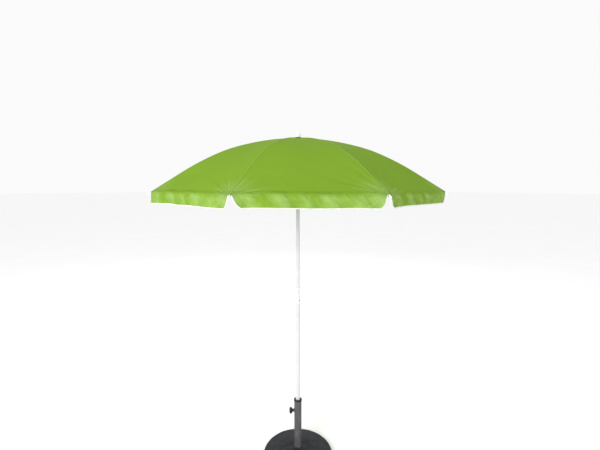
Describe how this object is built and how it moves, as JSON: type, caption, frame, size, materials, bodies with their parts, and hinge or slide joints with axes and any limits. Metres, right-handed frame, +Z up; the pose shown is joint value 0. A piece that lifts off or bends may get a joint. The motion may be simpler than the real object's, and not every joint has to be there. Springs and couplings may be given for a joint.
{
  "type": "patio umbrella",
  "caption": "Tilting garden parasol with a folding domed fabric canopy, short valance, two-part telescoping pole and round weighted base with a clamp knob.",
  "frame": {"origin": "on the floor, under the pole's axis", "axes": "+Z up the pole, -Y towards the middle of the front panel, the clamp knob on -X"},
  "size_m": [1.5598, 1.5598, 1.964],
  "materials": {
    "green_cloth": "matte",
    "white_pole": "gloss",
    "white_wire": "satin",
    "white_plastic": "satin",
    "dark_steel": "satin",
    "plain_steel": "satin",
    "black_plastic": "satin",
    "dark_concrete": "matte",
    "foot_rubber": "matte"
  },
  "bodies": {
    "base": {"base_disc": "dark_concrete", "base_foot_ring": "foot_rubber", "base_washer": "plain_steel", "base_bolt": "plain_steel", "base_tube": "dark_steel", "tube_plug": "plain_steel", "tube_bush": "black_plastic", "tube_collar": "black_plastic", "clamp_boss": "dark_steel"},
    "clamp_pad": {"clamp_pad": "black_plastic"},
    "clamp_knob": {"clamp_screw": "plain_steel", "clamp_knob": "black_plastic"},
    "lower_pole": {"lower_pole": "white_pole", "pole_foot_plug": "black_plastic", "pole_collar": "white_plastic"},
    "height_button": {"height_button": "black_plastic"},
    "inner_tube": {"inner_tube": "white_pole", "tilt_fork": "white_plastic", "tilt_rivet": "plain_steel"},
    "upper_pole": {"upper_pole": "white_pole", "tilt_tongue": "white_plastic", "crown": "white_plastic", "crown_wire": "plain_steel", "finial": "white_plastic", "canopy_patch": "green_cloth"},
    "tilt_button": {"tilt_button": "white_plastic"},
    "runner_catch": {"runner_catch": "plain_steel"},
    "runner": {"runner": "white_plastic"},
    "rib_1": {"rib_1": "white_wire", "rib_cap_1": "white_plastic", "canopy_wedge_1": "green_cloth"},
    "strut_1": {"strut_1": "white_wire"},
    "rib_2": {"rib_2": "white_wire", "rib_cap_2": "white_plastic", "canopy_wedge_2": "green_cloth"},
    "strut_2": {"strut_2": "white_wire"},
    "rib_3": {"rib_3": "white_wire", "rib_cap_3": "white_plastic", "canopy_wedge_3": "green_cloth"},
    "strut_3": {"strut_3": "white_wire"},
    "rib_4": {"rib_4": "white_wire", "rib_cap_4": "white_plastic", "canopy_wedge_4": "green_cloth"},
    "strut_4": {"strut_4": "white_wire"},
    "rib_5": {"rib_5": "white_wire", "rib_cap_5": "white_plastic", "canopy_wedge_5": "green_cloth"},
    "strut_5": {"strut_5": "white_wire"},
    "rib_6": {"rib_6": "white_wire", "rib_cap_6": "white_plastic", "canopy_wedge_6": "green_cloth"},
    "strut_6": {"strut_6": "white_wire"},
    "rib_7": {"rib_7": "white_wire", "rib_cap_7": "white_plastic", "canopy_wedge_7": "green_cloth"},
    "strut_7": {"strut_7": "white_wire"},
    "rib_8": {"rib_8": "white_wire", "rib_cap_8": "white_plastic", "canopy_wedge_8": "green_cloth"},
    "strut_8": {"strut_8": "white_wire"}
  },
  "joints": [
    {"name": "pole_lift", "type": "slide", "parent": "base", "child": "lower_pole", "axis": [0, 0, 1], "range_m": [0, 0.3]},
    {"name": "clamp_turn", "type": "hinge", "parent": "clamp_pad", "child": "clamp_knob", "pos_m": [-0.03, 0, 0.276], "axis": [-1, 0, 0], "range_deg": [0, 1080]},
    {"name": "clamp_travel", "type": "slide", "parent": "base", "child": "clamp_pad", "axis": [-1, 0, 0], "range_m": [0, 0.0046]},
    {"name": "height_slide", "type": "slide", "parent": "lower_pole", "child": "inner_tube", "axis": [0, 0, 1], "range_m": [0, 0.3]},
    {"name": "height_button_press", "type": "slide", "parent": "lower_pole", "child": "height_button", "axis": [-0.5592, 0.829, 0], "range_m": [0, 0.003], "stiffness_N_per_m": 300, "springref_m": -0.002},
    {"name": "tilt", "type": "hinge", "parent": "inner_tube", "child": "upper_pole", "pos_m": [0, 0, 0.987], "axis": [0, -1, 0], "range_deg": [0, 35]},
    {"name": "tilt_button_press", "type": "slide", "parent": "upper_pole", "child": "tilt_button", "axis": [-1, 0, 0], "range_m": [0, 0.003], "stiffness_N_per_m": 300, "springref_m": -0.002},
    {"name": "runner_catch_press", "type": "slide", "parent": "upper_pole", "child": "runner_catch", "axis": [-1, 0, 0], "range_m": [0, 0.0028], "stiffness_N_per_m": 300, "springref_m": -0.002},
    {"name": "canopy_fold", "type": "hinge", "parent": "upper_pole", "child": "rib_1", "pos_m": [-0.00918, -0.02217, 1.905], "axis": [0.9239, -0.3827, 0], "range_deg": [0, 65.5], "deforming": ["canopy_wedge_1"]},
    {"name": "strut_1_turn", "type": "hinge", "parent": "rib_1", "child": "strut_1", "pos_m": [-0.16455, -0.39727, 1.828], "axis": [0.9239, -0.3827, 0], "range_deg": [-131.5, 0.5]},
    {"name": "rib_2_fold", "type": "hinge", "parent": "upper_pole", "child": "rib_2", "pos_m": [0.00918, -0.02217, 1.905], "axis": [0.9239, 0.3827, 0], "range_deg": [-0.5, 66], "deforming": ["canopy_wedge_2"]},
    {"name": "strut_2_turn", "type": "hinge", "parent": "rib_2", "child": "strut_2", "pos_m": [0.16455, -0.39727, 1.828], "axis": [0.9239, 0.3827, 0], "range_deg": [-131.5, 0.5]},
    {"name": "rib_3_fold", "type": "hinge", "parent": "upper_pole", "child": "rib_3", "pos_m": [0.02217, -0.00918, 1.905], "axis": [0.3827, 0.9239, 0], "range_deg": [-0.5, 66], "deforming": ["canopy_wedge_3"]},
    {"name": "strut_3_turn", "type": "hinge", "parent": "rib_3", "child": "strut_3", "pos_m": [0.39727, -0.16455, 1.828], "axis": [0.3827, 0.9239, 0], "range_deg": [-131.5, 0.5]},
    {"name": "rib_4_fold", "type": "hinge", "parent": "upper_pole", "child": "rib_4", "pos_m": [0.02217, 0.00918, 1.905], "axis": [-0.3827, 0.9239, 0], "range_deg": [-0.5, 66], "deforming": ["canopy_wedge_4"]},
    {"name": "strut_4_turn", "type": "hinge", "parent": "rib_4", "child": "strut_4", "pos_m": [0.39727, 0.16455, 1.828], "axis": [-0.3827, 0.9239, 0], "range_deg": [-131.5, 0.5]},
    {"name": "rib_5_fold", "type": "hinge", "parent": "upper_pole", "child": "rib_5", "pos_m": [0.00918, 0.02217, 1.905], "axis": [-0.9239, 0.3827, 0], "range_deg": [-0.5, 66], "deforming": ["canopy_wedge_5"]},
    {"name": "strut_5_turn", "type": "hinge", "parent": "rib_5", "child": "strut_5", "pos_m": [0.16455, 0.39727, 1.828], "axis": [-0.9239, 0.3827, 0], "range_deg": [-131.5, 0.5]},
    {"name": "rib_6_fold", "type": "hinge", "parent": "upper_pole", "child": "rib_6", "pos_m": [-0.00918, 0.02217, 1.905], "axis": [-0.9239, -0.3827, 0], "range_deg": [-0.5, 66], "deforming": ["canopy_wedge_6"]},
    {"name": "strut_6_turn", "type": "hinge", "parent": "rib_6", "child": "strut_6", "pos_m": [-0.16455, 0.39727, 1.828], "axis": [-0.9239, -0.3827, 0], "range_deg": [-131.5, 0.5]},
    {"name": "rib_7_fold", "type": "hinge", "parent": "upper_pole", "child": "rib_7", "pos_m": [-0.02217, 0.00918, 1.905], "axis": [-0.3827, -0.9239, 0], "range_deg": [-0.5, 66], "deforming": ["canopy_wedge_7"]},
    {"name": "strut_7_turn", "type": "hinge", "parent": "rib_7", "child": "strut_7", "pos_m": [-0.39727, 0.16455, 1.828], "axis": [-0.3827, -0.9239, 0], "range_deg": [-131.5, 0.5]},
    {"name": "rib_8_fold", "type": "hinge", "parent": "upper_pole", "child": "rib_8", "pos_m": [-0.02217, -0.00918, 1.905], "axis": [0.3827, -0.9239, 0], "range_deg": [-0.5, 66], "deforming": ["canopy_wedge_8"]},
    {"name": "strut_8_turn", "type": "hinge", "parent": "rib_8", "child": "strut_8", "pos_m": [-0.39727, -0.16455, 1.828], "axis": [0.3827, -0.9239, 0], "range_deg": [-131.5, 0.5]},
    {"name": "runner_slide", "type": "slide", "parent": "upper_pole", "child": "runner", "axis": [0, 0, -1], "range_m": [-0.001, 0.64975]}
  ],
  "couplings": [
    {"joint": "clamp_travel", "follows": "clamp_turn", "m_per_rad": 0.00023873},
    {"joint": "strut_1_turn", "follows": "canopy_fold", "ratio": -2},
    {"joint": "rib_2_fold", "follows": "canopy_fold", "ratio": 1},
    {"joint": "strut_2_turn", "follows": "canopy_fold", "ratio": -2},
    {"joint": "rib_3_fold", "follows": "canopy_fold", "ratio": 1},
    {"joint": "strut_3_turn", "follows": "canopy_fold", "ratio": -2},
    {"joint": "rib_4_fold", "follows": "canopy_fold", "ratio": 1},
    {"joint": "strut_4_turn", "follows": "canopy_fold", "ratio": -2},
    {"joint": "rib_5_fold", "follows": "canopy_fold", "ratio": 1},
    {"joint": "strut_5_turn", "follows": "canopy_fold", "ratio": -2},
    {"joint": "rib_6_fold", "follows": "canopy_fold", "ratio": 1},
    {"joint": "strut_6_turn", "follows": "canopy_fold", "ratio": -2},
    {"joint": "rib_7_fold", "follows": "canopy_fold", "ratio": 1},
    {"joint": "strut_7_turn", "follows": "canopy_fold", "ratio": -2},
    {"joint": "rib_8_fold", "follows": "canopy_fold", "ratio": 1},
    {"joint": "strut_8_turn", "follows": "canopy_fold", "ratio": -2},
    {"joint": "runner_slide", "follows": "canopy_fold", "m_per_rad": 0.56749}
  ]
}
